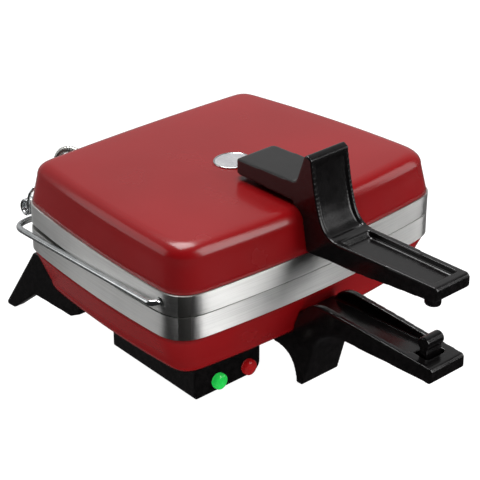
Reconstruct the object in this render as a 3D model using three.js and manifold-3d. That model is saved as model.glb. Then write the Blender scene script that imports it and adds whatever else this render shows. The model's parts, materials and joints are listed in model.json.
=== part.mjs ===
// A ring-cake maker: two hinged heated halves with cast ring moulds, moulded handles and a wire hinge bail.
// Millimetres, +Z up, handles towards -Y. Shapes are laid out about the parting plane of the two halves
// (z = 0) and the middle of the body plan, then the whole group is lifted so that it stands on z = 0.
import * as THREE from 'three';
import { mergeVertices } from 'three/addons/utils/BufferGeometryUtils.js';
import Module from 'manifold-3d';

const wasm = await Module();
wasm.setup();

// Body plan: a rounded, slightly bowed rectangle that narrows towards the hinge.
const HALF_WIDTH = 125;
const HALF_DEPTH = 101.5;
const SIDE_BOW = 3.5;
const FRONT_BOW = 5.8;
const REAR_BOW = 2.5;
const FRONT_RADIUS = 23;
const REAR_RADIUS = 11;
const PLAN_TAPER = 0.095;
const LEAST_CORNER = 3;
const CORNER_SHRINK = 0.7;
const CORNER_STEPS = 4;
const SIDE_STEPS = 5;

// Heights above and below the parting plane.
const FLOOR = -90;
const PARTING_GAP = 0.3;
const UPPER_BAND = 16.1;
const LOWER_BAND = -17.5;
const LID_TOP = 48.4;
const LID_CROWN = 0.8;
const BASE_BOTTOM = -54;
const LID_TILT = 0.018;

// Sheet and casting sections.
const GAP = 0.3;
const SHEET = 1.2;
const SHELL_INSET = 0.9;
const LID_WALL_INSET = 5.1;
const LID_EDGE = 10.9;
const BASE_WALL_INSET = 11.5;
const BASE_EDGE = 10;
const RIM = 6;
const WEB = 6;

// Ring moulds.
const RING_PITCH_X = 74;
const RING_PITCH_Y = 84;
const RING_RADIUS = 22;
const MOULD_RADIUS = 10.5;
const MOULD_WALL = 3;

// Heating elements lie against the backs of the moulds.
const ELEMENT_RADIUS = 3.25;
const ELEMENT_Z = MOULD_RADIUS + MOULD_WALL + ELEMENT_RADIUS + 2 * GAP + PARTING_GAP;
const ELEMENT_TAIL_X = 8;
const ELEMENT_TAIL_Y = 72;
const CLAMP_THICKNESS = 1.5;
const REFLECTOR_GAP = 6;
const REFLECTOR_THICKNESS = 1;

// Screws, each [x, y]: through the lid into the upper handle, and through the base pan into the lower
// handle, the rear feet and the control box.
const SCREW_RADIUS = 2;
const SCREW_LENGTH = 7;
const PILOT_RADIUS = SCREW_RADIUS + GAP;
const UPPER_SCREWS = [[0, -44], [0, -74]];
const HANDLE_SCREWS = [[-10, -64], [10, -64]];
const FOOT_SCREWS = [[-80, 70], [80, 70]];
const BOX_SCREWS = [[-66, -60], [-66, -4]];

// Hinge rod, which is the rear length of the bail, the bail's arms and the springs above the rod.
const ROD_RADIUS = 2.25;
const ROD_Y = 108;
const ROD_Z = -3;
const KNUCKLE_RADIUS = 4.4;
const BAIL_END_X = 125.5;
const BAIL_FRONT_Y = -74;
const BAIL_FRONT_Z = 9.6;
const BAIL_OUTER_X = 137;
const BAIL_REAR_X = 114.5;
const SPRING_CENTRE = [97, 111, 6.4];
const SPRING_RADIUS = 5.2;
const SPRING_WIRE = 1.2;

// Sheathed lead between the halves.
const LEAD_RADIUS = 2.6;
const LEAD_BASE = [-40, 90, -34];
const LEAD_LID = [-46, 92, 29];

// Handles.
const GRIP_HALF = 18.5;
const GRIP_NARROWING = 0.09;
const GRIP_ROOT_Y = -122;
const GRIP_TIP_Y = -217;
const CHANNEL_DEPTH = 4.5;
const CHANNEL_WALL = 5;
const HANDLE_BEVEL = 1.6;
const DISH_RIB = 3.2;
const ARM_REAR_Y = -27;
const ARM_UNDERSIDE = 53.4;
const BOSS_Y = -200.5;
const BOSS_RADIUS = 6;

// Catch on the lower handle.
const CATCH_Y = -201;
const CATCH_Z = -34.3;
const CATCH_REACH = 15.5;
const CATCH_HALF = 8;
const BARREL_RADIUS = 4.8;
const PIN_RADIUS = 1.3;
const PIN_HALF = 13;

// Badge on the lid.
const BADGE_Y = -6.5;
const BADGE_HALF = [14.8, 13.2];
const BADGE_THICKNESS = 1.3;

// Rear feet.
const FOOT_INNER = 87;
const FOOT_OUTER = 97;

// Control box and its lamps.
const BOX_LEFT = -94;
const BOX_RIGHT = -35.5;
const BOX_FRONT = -76;
const BOX_REAR = 23.5;
const BOX_BOTTOM = -79;
const BOX_WALL = 2;
const BOX_LEFT_ROUND = 1.5;
const BOX_RIGHT_ROUND = 8;
const LAMP_Z = -71;
const LAMP_RADIUS = 6;
const LAMP_OUT = 5.5;
const GREEN_LAMP_X = -79.5;
const RED_LAMP_X = -50.8;
const INLET_X = -64;

const CENTRE = null;

const FINISH = {
  enamel: { color: '#b01c20', roughness: 0.28, metalness: 0 },
  casting: { color: '#b9b8b4', roughness: 0.4, metalness: 1 },
  phenolic: { color: '#141314', roughness: 0.35, metalness: 0 },
  chrome: { color: '#d5d8da', roughness: 0.12, metalness: 1 },
  steel: { color: '#9da0a3', roughness: 0.35, metalness: 1 },
  ceramic: { color: '#e6e2d6', roughness: 0.7, metalness: 0 },
  badge: { color: '#f2f1ee', roughness: 0.3, metalness: 0 },
  green: { color: '#18c43c', roughness: 0.2, metalness: 0 },
  red: { color: '#c01d22', roughness: 0.2, metalness: 0 },
  sheath: { color: '#a9aaa6', roughness: 0.35, metalness: 1 },
};

// ---- solids ----------------------------------------------------------------------------------------

function toSolid(geometry) {
  const plain = geometry.index ? geometry.toNonIndexed() : geometry.clone();
  plain.deleteAttribute('normal');
  plain.deleteAttribute('uv');
  const merged = mergeVertices(plain, 1e-4);
  const corners = merged.index.array;
  const kept = [];
  for (let i = 0; i < corners.length; i += 3) {
    const triangle = corners.slice(i, i + 3);
    if (new Set(triangle).size === 3) {
      kept.push(...triangle);
    }
  }
  const vertProperties = new Float32Array(merged.attributes.position.array);
  const build = (triVerts) => new wasm.Manifold(
    new wasm.Mesh({ numProp: 3, vertProperties, triVerts: new Uint32Array(triVerts) }));
  const solid = build(kept);
  return solid.volume() < 0 ? build(kept.reverse()) : solid;
}

function toGeometry(solid) {
  const mesh = solid.getMesh();
  const geometry = new THREE.BufferGeometry();
  geometry.setAttribute('position', new THREE.BufferAttribute(new Float32Array(mesh.vertProperties), 3));
  geometry.setIndex(new THREE.BufferAttribute(new Uint32Array(mesh.triVerts), 1));
  geometry.computeVertexNormals();
  return geometry;
}

function join(...solids) {
  return solids.reduce((whole, solid) => whole.add(solid));
}

function cut(solid, ...tools) {
  return tools.reduce((rest, tool) => rest.subtract(tool), solid);
}

function sorted(...numbers) {
  return numbers.sort((a, b) => a - b);
}

function block([x0, x1], [y0, y1], [z0, z1]) {
  const geometry = new THREE.BoxGeometry(x1 - x0, y1 - y0, z1 - z0);
  geometry.translate((x0 + x1) / 2, (y0 + y1) / 2, (z0 + z1) / 2);
  return toSolid(geometry);
}

// A round bar from one point to another.
function bar(from, to, radius, sides = 20) {
  const [a, b] = [new THREE.Vector3(...from), new THREE.Vector3(...to)];
  const along = b.clone().sub(a);
  const geometry = new THREE.CylinderGeometry(radius, radius, along.length(), sides);
  const turn = new THREE.Quaternion().setFromUnitVectors(new THREE.Vector3(0, 1, 0), along.normalize());
  geometry.applyQuaternion(turn);
  geometry.translate(...a.add(b).multiplyScalar(0.5).toArray());
  return toSolid(geometry);
}

// A turned piece whose profile of [radius, height] pairs starts and ends on its own axis.
function turned(profile, at, direction, sides = 24) {
  const geometry = new THREE.LatheGeometry(profile.map(([r, h]) => new THREE.Vector2(r, h)), sides);
  const turn = new THREE.Quaternion().setFromUnitVectors(
    new THREE.Vector3(0, 1, 0), new THREE.Vector3(...direction));
  geometry.applyQuaternion(turn);
  geometry.translate(...at);
  return toSolid(geometry);
}

// A side profile in Y and Z, extruded across X with softened outer edges.
function sideProfile(shape, x0, x1, bevel = 0) {
  const geometry = new THREE.ExtrudeGeometry(shape, {
    depth: x1 - x0 - 2 * bevel, steps: 1, curveSegments: 4,
    bevelEnabled: bevel > 0, bevelThickness: bevel, bevelSize: bevel, bevelOffset: -bevel, bevelSegments: 1,
  });
  geometry.translate(0, 0, x0 + bevel);
  geometry.applyMatrix4(new THREE.Matrix4().makeBasis(
    new THREE.Vector3(0, 1, 0), new THREE.Vector3(0, 0, 1), new THREE.Vector3(1, 0, 0)));
  return toSolid(geometry);
}

// A plan outline in X and Y, extruded upwards.
function planProfile(shape, z0, z1, curveSegments = 8) {
  const geometry = new THREE.ExtrudeGeometry(shape, { depth: z1 - z0, bevelEnabled: false, curveSegments });
  geometry.translate(0, 0, z0);
  return toSolid(geometry);
}

function outline(points) {
  return new THREE.Shape(points.map(([x, y]) => new THREE.Vector2(x, y)));
}

function roundedRectangle(x0, x1, y0, y1, r) {
  const shape = new THREE.Shape();
  shape.absarc(x1 - r, y0 + r, r, -Math.PI / 2, 0);
  shape.absarc(x1 - r, y1 - r, r, 0, Math.PI / 2);
  shape.absarc(x0 + r, y1 - r, r, Math.PI / 2, Math.PI);
  shape.absarc(x0 + r, y0 + r, r, Math.PI, 1.5 * Math.PI);
  return shape;
}

// A round wire or tube along a smooth curve through the points.
function wire(points, radius, sides, steps) {
  const path = new THREE.CatmullRomCurve3(points.map((p) => new THREE.Vector3(...p)), false, 'centripetal');
  const ring = Array.from({ length: sides }, (_, i) => {
    const turn = (i / sides) * 2 * Math.PI;
    return [radius * Math.cos(turn), radius * Math.sin(turn)];
  });
  return toSolid(new THREE.ExtrudeGeometry(outline(ring), { steps, extrudePath: path, bevelEnabled: false }));
}

// Points of a path with its inner corners rounded off.
function roundedPath(corners, radius, steps = 5) {
  const path = [corners[0]];
  for (let i = 1; i < corners.length - 1; i += 1) {
    const [a, b, c] = corners.slice(i - 1, i + 2).map((p) => new THREE.Vector3(...p));
    const start = b.clone().addScaledVector(a.clone().sub(b).normalize(), radius);
    const end = b.clone().addScaledVector(c.clone().sub(b).normalize(), radius);
    const bend = new THREE.QuadraticBezierCurve3(start, b, end);
    bend.getPoints(steps).forEach((p) => path.push(p.toArray()));
  }
  path.push(corners.at(-1));
  return path;
}

// Points spaced along the straight stretches, so that a curve through them stays straight there.
function withMidpoints(points, longest) {
  const dense = [points[0]];
  for (let i = 1; i < points.length; i += 1) {
    const [a, b] = [new THREE.Vector3(...points[i - 1]), new THREE.Vector3(...points[i])];
    const pieces = Math.ceil(a.distanceTo(b) / longest);
    for (let k = 1; k <= pieces; k += 1) {
      dense.push(a.clone().lerp(b, k / pieces).toArray());
    }
  }
  return dense;
}

// ---- body plan -------------------------------------------------------------------------------------

function widthFactor(y) {
  return 1 - PLAN_TAPER * y / HALF_DEPTH;
}

// The straight-sided plan's corners, set in by a distance: centre of each round, radius and starting turn.
function planCorners(inset) {
  const halfWidth = HALF_WIDTH - SIDE_BOW - inset;
  const front = HALF_DEPTH - FRONT_BOW - inset;
  const rear = HALF_DEPTH - REAR_BOW - inset;
  const corners = [
    [1, rear, REAR_RADIUS], [-1, rear, REAR_RADIUS],
    [-1, -front, FRONT_RADIUS], [1, -front, FRONT_RADIUS]];
  return corners.map(([side, end, fullRadius], quarter) => {
    const radius = Math.max(fullRadius - CORNER_SHRINK * inset, LEAST_CORNER);
    const centre = new THREE.Vector2(side * (halfWidth - radius), end - Math.sign(end) * radius);
    return { centre, radius, turn: quarter * Math.PI / 2 };
  });
}

function onCorner({ centre, radius, turn }, share) {
  const angle = turn + share * Math.PI / 2;
  return new THREE.Vector2(Math.cos(angle), Math.sin(angle)).multiplyScalar(radius).add(centre);
}

// The plan outline, set in by a distance, as a closed list of points running anticlockwise.
function planOutline(inset) {
  const corners = planCorners(inset);
  const bows = [REAR_BOW, SIDE_BOW, FRONT_BOW, SIDE_BOW];
  const points = [];
  corners.forEach((corner, quarter) => {
    for (let i = 0; i <= CORNER_STEPS; i += 1) {
      points.push(onCorner(corner, i / CORNER_STEPS));
    }
    const start = onCorner(corner, 1);
    const end = onCorner(corners[(quarter + 1) % 4], 0);
    const outward = start.clone().sub(corner.centre).normalize();
    for (let i = 1; i < SIDE_STEPS; i += 1) {
      const t = i / SIDE_STEPS;
      const swell = bows[quarter] * 4 * t * (1 - t);
      points.push(start.clone().lerp(end, t).addScaledVector(outward, swell));
    }
  });
  return points.map((p) => new THREE.Vector2(p.x * widthFactor(p.y), p.y));
}

// A solid whose level sections follow the body plan. The profile is a list of [inset, height] pairs, and
// CENTRE in place of an inset stands for the middle of the plan.
function planLathe(profile) {
  const rings = profile.map(([inset]) => (inset === CENTRE ? CENTRE : planOutline(inset)));
  const segments = planOutline(0).length;
  const geometry = new THREE.LatheGeometry(
    profile.map(([inset, z]) => new THREE.Vector2(inset === CENTRE ? 0 : HALF_WIDTH - inset, z)), segments);
  const position = geometry.attributes.position;
  for (let i = 0; i <= segments; i += 1) {
    profile.forEach(([, z], j) => {
      const point = rings[j] === CENTRE ? new THREE.Vector2() : rings[j][i % segments];
      position.setXYZ(i * profile.length + j, point.x, point.y, z);
    });
  }
  return toSolid(geometry);
}

function lidProfile(offset) {
  const profile = [[SHELL_INSET - offset, UPPER_BAND + GAP], [LID_WALL_INSET - offset, LID_TOP - LID_EDGE]];
  const radius = LID_EDGE + offset;
  for (let i = 1; i <= 3; i += 1) {
    const turn = (i / 3) * Math.PI / 2;
    const inset = LID_WALL_INSET + LID_EDGE - radius * Math.cos(turn);
    profile.push([inset, LID_TOP - LID_EDGE + radius * Math.sin(turn)]);
  }
  profile.push([50, LID_TOP + 0.7 * LID_CROWN + offset]);
  profile.push([CENTRE, LID_TOP + LID_CROWN + offset]);
  return profile;
}

function baseProfile(offset) {
  const profile = [[SHELL_INSET - offset, LOWER_BAND - GAP]];
  const radius = BASE_EDGE + offset;
  for (let i = 0; i <= 3; i += 1) {
    const turn = (i / 3) * Math.PI / 2;
    const inset = BASE_WALL_INSET + BASE_EDGE - radius * Math.cos(turn);
    profile.push([inset, BASE_BOTTOM + BASE_EDGE - radius * Math.sin(turn)]);
  }
  profile.push([CENTRE, BASE_BOTTOM - offset]);
  return profile;
}

// The room that a shell and its band take up, a little enlarged, for cutting pieces that lie against them.
function lidEnvelope() {
  const profile = lidProfile(GAP);
  profile[0] = [-GAP, 0];
  profile.splice(1, 0, [-GAP, UPPER_BAND + GAP], [SHELL_INSET - GAP, UPPER_BAND + 2 * GAP]);
  return planLathe([[CENTRE, 0], ...profile]);
}

function baseEnvelope() {
  const profile = baseProfile(GAP);
  profile[0] = [-GAP, 0];
  profile.splice(1, 0, [-GAP, LOWER_BAND - GAP], [SHELL_INSET - GAP, LOWER_BAND - 2 * GAP]);
  return planLathe([[CENTRE, 0], ...profile]);
}

function pan(outer, inner) {
  return planLathe([...outer, ...inner.reverse(), outer[0]]);
}

// Where the sheathed lead goes through a shell's rear wall.
function leadHole([x, , z]) {
  return bar([x, 80, z], [x, 110, z], LEAD_RADIUS + 1.5);
}

function screwHoles(screws, z0, z1) {
  return screws.map(([x, y]) => bar([x, y, z0], [x, y, z1], PILOT_RADIUS, 12));
}

function lidShell() {
  const walls = pan(lidProfile(0), lidProfile(-SHEET));
  return cut(walls, leadHole(LEAD_LID), ...screwHoles(UPPER_SCREWS, 40, 60));
}

function baseShell() {
  const wireHole = block([-88, -72], [-40, -24], [BASE_BOTTOM - 2, BASE_BOTTOM + 4]);
  const screws = [...HANDLE_SCREWS, ...FOOT_SCREWS, ...BOX_SCREWS];
  const walls = pan(baseProfile(0), baseProfile(-SHEET));
  return cut(walls, leadHole(LEAD_BASE), wireHole, ...screwHoles(screws, -60, -50));
}

// ---- cast plates -----------------------------------------------------------------------------------

function ringCentres() {
  const columns = [-RING_PITCH_X, 0, RING_PITCH_X];
  return columns.flatMap((x) => [[x, -RING_PITCH_Y / 2], [x, RING_PITCH_Y / 2]]);
}

function moulds(radius, z) {
  return ringCentres().map(([x, y]) => {
    const ring = new THREE.TorusGeometry(RING_RADIUS, radius, 8, 16);
    ring.translate(x, y, z);
    return toSolid(ring);
  });
}

// One casting: a web with a rim, bulged around its ring moulds. Side is 1 for the upper, -1 for the lower.
function castPlate(side, face, band) {
  const back = face + side * WEB;
  const profile = [
    [CENTRE, face], [0, face], [0, band], [RIM, band], [RIM + 1, back], [CENTRE, back]];
  const slab = planLathe(profile);
  const half = side > 0 ? [face, band] : [band, face];
  const bulges = moulds(MOULD_RADIUS + MOULD_WALL, face).map((ring) => ring.intersect(
    block([-HALF_WIDTH, HALF_WIDTH], [-HALF_DEPTH, HALF_DEPTH], half)));
  return cut(join(slab, ...bulges), ...moulds(MOULD_RADIUS, face));
}

function bailSockets() {
  const along = (x) => [x, BAIL_FRONT_Y, BAIL_FRONT_Z];
  return [-1, 1].map((side) => bar(
    along(side * (BAIL_END_X - 1)), along(side * (BAIL_OUTER_X + 8)), ROD_RADIUS + 0.5));
}

// ---- heating ---------------------------------------------------------------------------------------

function element(side) {
  const z = side * ELEMENT_Z;
  const [x, y] = [RING_PITCH_X, RING_PITCH_Y / 2];
  const [tailX, tailY] = [ELEMENT_TAIL_X, ELEMENT_TAIL_Y];
  const corners = [
    [-tailX, tailY, z], [-tailX, y, z], [-x, y, z], [-x, -y, z],
    [x, -y, z], [x, y, z], [tailX, y, z], [tailX, tailY, z]];
  return wire(withMidpoints(roundedPath(corners, 7), 25), ELEMENT_RADIUS, 6, 38);
}

function elementClamp(side) {
  const near = side * (ELEMENT_Z + ELEMENT_RADIUS + GAP);
  const levels = sorted(near, near + side * CLAMP_THICKNESS);
  return planProfile(roundedRectangle(-86, 86, -10, 10, 4), ...levels);
}

function reflector(side) {
  const near = side * (ELEMENT_Z + ELEMENT_RADIUS + REFLECTOR_GAP);
  const levels = sorted(near, near + side * REFLECTOR_THICKNESS);
  const vents = [-50, 0, 50].map((x) => bar([x, 0, levels[0] - 1], [x, 0, levels[1] + 1], 6, 16));
  return cut(planProfile(roundedRectangle(-92, 92, -68, 68, 10), ...levels), ...vents);
}

function terminalBlock(side) {
  const levels = sorted(side * (ELEMENT_Z - 5), side * (ELEMENT_Z + 5));
  const body = block([-15, 15], [73, 85], levels);
  const top = levels[1];
  const tails = [-ELEMENT_TAIL_X, ELEMENT_TAIL_X];
  const wells = tails.map((x) => bar([x, 80, top + 1], [x, 80, top - 4], 2.4, 12));
  return cut(body, ...wells);
}

function thermostat() {
  const top = -(WEB + 2 * GAP);
  return turned([[0, 0], [12, 0], [12, 6], [8, 6], [8, 9], [0, 9]], [RING_PITCH_X / 2, 0, top], [0, 0, -1]);
}

function thermalFuse() {
  const z = -(WEB + 2 * GAP) - 3;
  return bar([-RING_PITCH_X / 2 - 8, 0, z], [-RING_PITCH_X / 2 + 8, 0, z], 2.6, 12);
}

// ---- screws ----------------------------------------------------------------------------------------

function screw(x, y, seat, direction) {
  const profile = [
    [0, 2.4], [3, 2.2], [4, 1.2], [4, 0],
    [SCREW_RADIUS, 0], [SCREW_RADIUS, -SCREW_LENGTH], [0, -SCREW_LENGTH]];
  return turned(profile, [x, y, seat], [0, 0, direction], 12);
}

// ---- upper handle ----------------------------------------------------------------------------------

function narrowed(solid) {
  const geometry = toGeometry(solid);
  const position = geometry.attributes.position;
  for (let i = 0; i < position.count; i += 1) {
    const along = THREE.MathUtils.clamp((GRIP_ROOT_Y - position.getY(i)) / (GRIP_ROOT_Y - GRIP_TIP_Y), 0, 1);
    position.setX(i, position.getX(i) * (1 - GRIP_NARROWING * along));
  }
  return toSolid(geometry);
}

// The recess along the top of a grip, between points on the rim given as [y, z], with ends that slope.
function gripChannel([startY, startZ], [endY, endZ]) {
  const half = GRIP_HALF - CHANNEL_WALL;
  const shape = outline([
    [startY + 4.5, startZ + 12], [startY - 8, startZ - CHANNEL_DEPTH],
    [endY + 1, endZ - CHANNEL_DEPTH], [endY - 0.5, endZ + 12]]);
  return narrowed(sideProfile(shape, -half, half));
}

function upperHandleOutline() {
  const shape = new THREE.Shape();
  shape.moveTo(ARM_REAR_Y - 0.5, 40);
  shape.lineTo(ARM_REAR_Y, 60);
  shape.quadraticCurveTo(ARM_REAR_Y, 64.4, -32, 64.6);
  shape.lineTo(-84.5, 66.2);
  shape.quadraticCurveTo(-88.5, 66.6, -90, 70.5);
  shape.lineTo(-95.4, 87);
  shape.quadraticCurveTo(-96.4, 89.6, -98.8, 89.2);
  shape.lineTo(-102.2, 87.2);
  shape.quadraticCurveTo(-106.5, 62, -111.5, 48);
  shape.quadraticCurveTo(-115.5, 35.5, -127, 34);
  shape.lineTo(GRIP_TIP_Y + 2, 34);
  shape.lineTo(GRIP_TIP_Y, 32);
  shape.lineTo(GRIP_TIP_Y, 25);
  shape.lineTo(GRIP_TIP_Y + 2, 23);
  shape.lineTo(-146, 18.6);
  shape.lineTo(-112, 18);
  shape.lineTo(-85, 17.4);
  return shape;
}

// The dish in the front of the guard, between its side ribs.
function guardDish() {
  const shape = new THREE.Shape();
  shape.moveTo(-101.6, 84.5);
  shape.quadraticCurveTo(-104.5, 62, -109.5, 48.5);
  shape.quadraticCurveTo(-113, 37.5, -121, 34);
  shape.lineTo(-140, 60);
  return sideProfile(shape, -GRIP_HALF + DISH_RIB, GRIP_HALF - DISH_RIB);
}

// The air space under the arm, which two stand-offs bridge at the screws.
function armUnderside() {
  const shape = outline([
    [ARM_REAR_Y + 5, 40], [ARM_REAR_Y + 5, ARM_UNDERSIDE], [-86, ARM_UNDERSIDE - 1.8], [-90, 40]]);
  return sideProfile(shape, -GRIP_HALF - 1, GRIP_HALF + 1);
}

function upperHandle() {
  const body = narrowed(sideProfile(upperHandleOutline(), -GRIP_HALF, GRIP_HALF, HANDLE_BEVEL));
  const boss = bar([0, BOSS_Y, 26], [0, BOSS_Y, 10.2], BOSS_RADIUS);
  const standOffs = UPPER_SCREWS.map(([x, y]) => bar([x, y, 40], [x, y, 55], 6, 16));
  const channel = gripChannel([GRIP_ROOT_Y - 2, 34], [GRIP_TIP_Y + 7, 34]);
  const whole = join(cut(join(body, boss), armUnderside()), ...standOffs);
  return cut(whole, lidEnvelope(), guardDish(), channel, ...screwHoles(UPPER_SCREWS, 40, 58));
}

function badge() {
  const oval = new THREE.Shape();
  oval.absellipse(0, BADGE_Y, ...BADGE_HALF, 0, 2 * Math.PI);
  const disc = planProfile(oval, LID_TOP, LID_TOP + LID_CROWN + BADGE_THICKNESS, 20);
  return cut(disc, lidEnvelope());
}

// ---- lower handle, feet and catch ------------------------------------------------------------------

function lowerHandleOutline() {
  const shape = new THREE.Shape();
  shape.moveTo(-78, -31);
  shape.lineTo(-99, -31);
  shape.quadraticCurveTo(-103, -21, -117, -20.4);
  shape.lineTo(GRIP_TIP_Y + 2, -29);
  shape.lineTo(GRIP_TIP_Y, -31);
  shape.lineTo(GRIP_TIP_Y, -38.5);
  shape.lineTo(GRIP_TIP_Y + 2, -40.5);
  shape.lineTo(-138, -38.5);
  shape.quadraticCurveTo(-114, -39, -108.5, -58);
  shape.lineTo(-99.5, FLOOR);
  shape.lineTo(-93.5, FLOOR);
  shape.quadraticCurveTo(-91.5, -69, -76, -66);
  shape.quadraticCurveTo(-62, -64, -46, -61);
  shape.lineTo(-46, -45);
  return shape;
}

function lowerHandle() {
  const body = narrowed(sideProfile(lowerHandleOutline(), -GRIP_HALF, GRIP_HALF, HANDLE_BEVEL));
  const channel = gripChannel([-66, -26.5], [CATCH_Y + 9, -27]);
  const half = CATCH_HALF + 2;
  const pocket = block([-half, half], [CATCH_Y - 5.5, CATCH_Y + 11], [CATCH_Z - 4.4, -20]);
  const reach = PIN_HALF + 0.5;
  const pinHole = bar([-reach, CATCH_Y, CATCH_Z], [reach, CATCH_Y, CATCH_Z], PIN_RADIUS + GAP, 12);
  return cut(body, baseEnvelope(), channel, pocket, pinHole, ...screwHoles(HANDLE_SCREWS, -63, -50));
}

function catchLever() {
  const top = CATCH_Z + CATCH_REACH;
  const across = (half, z, radius, sides) => bar([-half, CATCH_Y, z], [half, CATCH_Y, z], radius, sides);
  const slab = block([-CATCH_HALF, CATCH_HALF], [CATCH_Y - 3, CATCH_Y + 3], [CATCH_Z, top]);
  const barrel = across(CATCH_HALF + 0.7, top, BARREL_RADIUS);
  const knuckle = across(CATCH_HALF, CATCH_Z, 3.6, 16);
  return cut(join(slab, barrel, knuckle), across(CATCH_HALF + 2, CATCH_Z, PIN_RADIUS + GAP, 12));
}

function rearFootOutline() {
  const shape = new THREE.Shape();
  shape.moveTo(80, -34);
  shape.lineTo(106, -31.5);
  shape.quadraticCurveTo(110, -31.5, 111.5, -35);
  shape.lineTo(147.5, FLOOR + 2);
  shape.lineTo(146.5, FLOOR);
  shape.lineTo(138, FLOOR);
  shape.lineTo(113, -70);
  shape.quadraticCurveTo(110.5, -68, 107, -68.5);
  shape.lineTo(67, -70);
  shape.lineTo(56, -64.5);
  shape.lineTo(54, -50);
  return shape;
}

function rearFoot(side) {
  const leg = sideProfile(rearFootOutline(), ...sorted(side * FOOT_INNER, side * FOOT_OUTER), 1);
  const flange = planProfile(roundedRectangle(...sorted(side * 70, side * 92), 56, 84, 5), -61, -50);
  return cut(join(leg, flange), baseEnvelope(), ...screwHoles(FOOT_SCREWS, -62, -50));
}

// ---- control box -----------------------------------------------------------------------------------

function tapered(solid) {
  const geometry = toGeometry(solid);
  const position = geometry.attributes.position;
  for (let i = 0; i < position.count; i += 1) {
    position.setX(i, position.getX(i) * widthFactor(position.getY(i)));
  }
  return toSolid(geometry);
}

function boxSection(inset, top) {
  const [left, right, bottom] = [BOX_LEFT + inset, BOX_RIGHT - inset, BOX_BOTTOM + inset];
  const [small, large] = [BOX_LEFT_ROUND, BOX_RIGHT_ROUND];
  const shape = new THREE.Shape();
  shape.moveTo(left, top);
  shape.lineTo(left, bottom + small);
  shape.absarc(left + small, bottom + small, small, Math.PI, 1.5 * Math.PI);
  shape.absarc(right - large, bottom + large, large, 1.5 * Math.PI, 2 * Math.PI);
  shape.lineTo(right, top);
  return shape;
}

function boxSolid(inset, top) {
  const geometry = new THREE.ExtrudeGeometry(boxSection(inset, top), {
    depth: BOX_REAR - BOX_FRONT - 2 * inset, steps: 4, curveSegments: 5, bevelEnabled: false });
  geometry.rotateX(Math.PI / 2);
  geometry.translate(0, BOX_REAR - inset, 0);
  return tapered(toSolid(geometry));
}

function controlBox() {
  const top = BASE_BOTTOM - GAP;
  const lampHoles = [GREEN_LAMP_X, RED_LAMP_X].map((x) => bar(
    [x, BOX_FRONT - 2, LAMP_Z], [x, BOX_FRONT + 5, LAMP_Z], LAMP_RADIUS - 0.7));
  const inletHole = block([INLET_X - 14.3, INLET_X + 14.3], [BOX_REAR - 5, BOX_REAR + 2], [-76.3, -57.7]);
  const posts = BOX_SCREWS.map(([x, y]) => bar([x, y, top], [x, y, top - 9], 4.5, 12));
  const ribs = BOX_SCREWS.map(([x, y]) => block([x - 1, x + 1], [y - 4, y + 4], [BOX_BOTTOM + 1, top - 6]));
  const walls = cut(boxSolid(0, top), boxSolid(BOX_WALL, top + 5), ...lampHoles, inletHole);
  return cut(join(walls, ...posts, ...ribs), ...screwHoles(BOX_SCREWS, top - 8, top + 1));
}

function lampLens(x) {
  const profile = [
    [0, -4], [LAMP_RADIUS - 1, -4], [LAMP_RADIUS - 1, GAP], [LAMP_RADIUS, GAP], [LAMP_RADIUS, LAMP_OUT - 2],
    [LAMP_RADIUS - 0.7, LAMP_OUT - 0.7], [LAMP_RADIUS - 2.2, LAMP_OUT], [0, LAMP_OUT]];
  return turned(profile, [x, BOX_FRONT, LAMP_Z], [0, -1, 0]);
}

function lampHolder(x) {
  return bar([x, BOX_FRONT + 4 + GAP, LAMP_Z], [x, BOX_FRONT + 22, LAMP_Z], 4.4, 16);
}

function applianceInlet() {
  const [low, high] = [-76, -58];
  const flange = block([INLET_X - 17, INLET_X + 17], [BOX_REAR + GAP, BOX_REAR + 2], [-77.5, -56.5]);
  const shroud = block([INLET_X - 14, INLET_X + 14], [BOX_REAR - 18, BOX_REAR + 1], [low, high]);
  const well = block([INLET_X - 12, INLET_X + 12], [BOX_REAR - 15, BOX_REAR + 4], [low + 2, high - 2]);
  const pins = [-7, 0, 7].map((dx) => block(
    [INLET_X + dx - 1, INLET_X + dx + 1], [BOX_REAR - 17, BOX_REAR - 2], [-69, -65]));
  return join(cut(join(flange, shroud), well), ...pins);
}

// ---- hinge, bail, springs and lead -----------------------------------------------------------------

function bail() {
  const hook = [
    [-BAIL_END_X, BAIL_FRONT_Y, BAIL_FRONT_Z], [-BAIL_OUTER_X, BAIL_FRONT_Y, BAIL_FRONT_Z],
    [-BAIL_REAR_X, ROD_Y, ROD_Z]];
  const corner = [hook[1], hook[2], [-BAIL_REAR_X + 20, ROD_Y, ROD_Z]];
  const half = [...roundedPath(hook, 6, 3).slice(0, -1), ...roundedPath(corner, 14, 4).slice(1)];
  const mirrored = half.map(([x, y, z]) => [-x, y, z]).reverse();
  return wire(withMidpoints([...half, ...mirrored], 20), ROD_RADIUS, 6, 76);
}

function alongRod(x0, x1, radius, sides) {
  return bar([x0, ROD_Y, ROD_Z], [x1, ROD_Y, ROD_Z], radius, sides);
}

function rodBore(x0, x1) {
  return alongRod(x0 - 1, x1 + 1, ROD_RADIUS + GAP + 0.05, 16);
}

function hingeBracket(side) {
  const [x0, x1] = sorted(side * 54, side * 66);
  const leaf = outline([[112, -4], [110, -9], [101, -40], [84, -40], [84, -12], [103.7, -4]]);
  const whole = join(sideProfile(leaf, x0, x1), alongRod(x0, x1, KNUCKLE_RADIUS));
  return cut(whole, baseEnvelope(), rodBore(x0, x1));
}

function lidLug(side, envelope) {
  const [x0, x1] = sorted(side * 70, side * 78);
  const leaf = outline([[112, -2], [109, 3], [101, 15], [88, 15], [88, 3.5], [101, 3.5], [104, -3]]);
  const whole = join(sideProfile(leaf, x0, x1), alongRod(x0, x1, KNUCKLE_RADIUS));
  return cut(whole, envelope, rodBore(x0, x1));
}

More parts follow.
